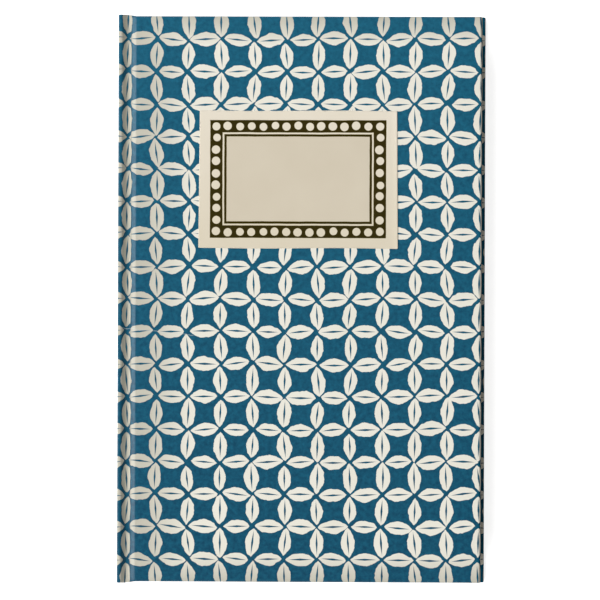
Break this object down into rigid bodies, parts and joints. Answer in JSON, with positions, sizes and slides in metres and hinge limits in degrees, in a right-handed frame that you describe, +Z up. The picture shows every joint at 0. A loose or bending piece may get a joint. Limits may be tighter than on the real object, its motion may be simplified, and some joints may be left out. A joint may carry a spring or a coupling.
{
  "type": "hardcover notebook",
  "caption": "Case-bound notebook with printed paper over rigid boards, a pasted front label and a sewn block of blank leaves; it opens flat at the middle.",
  "frame": {"origin": "middle of the outline, on the resting face of the back cover", "axes": "+X from the spine to the fore edge, +Y from tail to head, +Z up from the back cover to the front"},
  "size_m": [0.1348, 0.21, 0.0166],
  "materials": {
    "printed_cover_paper": "printed satin paper, blue ground with cream shapes",
    "grey_board": "grey bookbinding board",
    "label_paper": "cream paper with a printed dark border",
    "endpaper": "plain cream endpaper",
    "page_paper": "uncoated cream writing paper",
    "mull_gauze": "open cotton gauze",
    "lining_paper": "brown kraft paper",
    "linen_thread": "waxed sewing thread",
    "band_cotton": "cotton band over a cord"
  },
  "bodies": {
    "back_cover": {"back_board": "grey_board", "back_cover_paper": "printed_cover_paper", "back_mull_flange": "mull_gauze", "back_endpaper": "endpaper", "section_07": "page_paper", "section_08": "page_paper", "section_09": "page_paper", "section_10": "page_paper", "section_11": "page_paper", "section_12": "page_paper"},
    "spine": {"spine_board": "grey_board", "spine_cover_paper": "printed_cover_paper", "front_joint_paper": "printed_cover_paper", "back_joint_paper": "printed_cover_paper", "spine_mull": "mull_gauze", "spine_lining": "lining_paper", "sewing_thread": "linen_thread", "headband": "band_cotton", "tailband": "band_cotton"},
    "front_cover": {"front_board": "grey_board", "front_cover_paper": "printed_cover_paper", "front_label": "label_paper", "front_mull_flange": "mull_gauze", "front_endpaper": "endpaper", "section_01": "page_paper", "section_02": "page_paper", "section_03": "page_paper", "section_04": "page_paper", "section_05": "page_paper", "section_06": "page_paper"}
  },
  "joints": [
    {"name": "back_joint", "type": "hinge", "parent": "back_cover", "child": "spine", "pos_m": [-0.0664, 0, 0.001], "axis": [0, -1, 0], "range_deg": [0, 90], "deforming": ["back_joint_paper"]},
    {"name": "front_joint", "type": "hinge", "parent": "spine", "child": "front_cover", "pos_m": [-0.0664, 0, 0.01544], "axis": [0, -1, 0], "range_deg": [0, 90], "deforming": ["front_joint_paper"]}
  ]
}
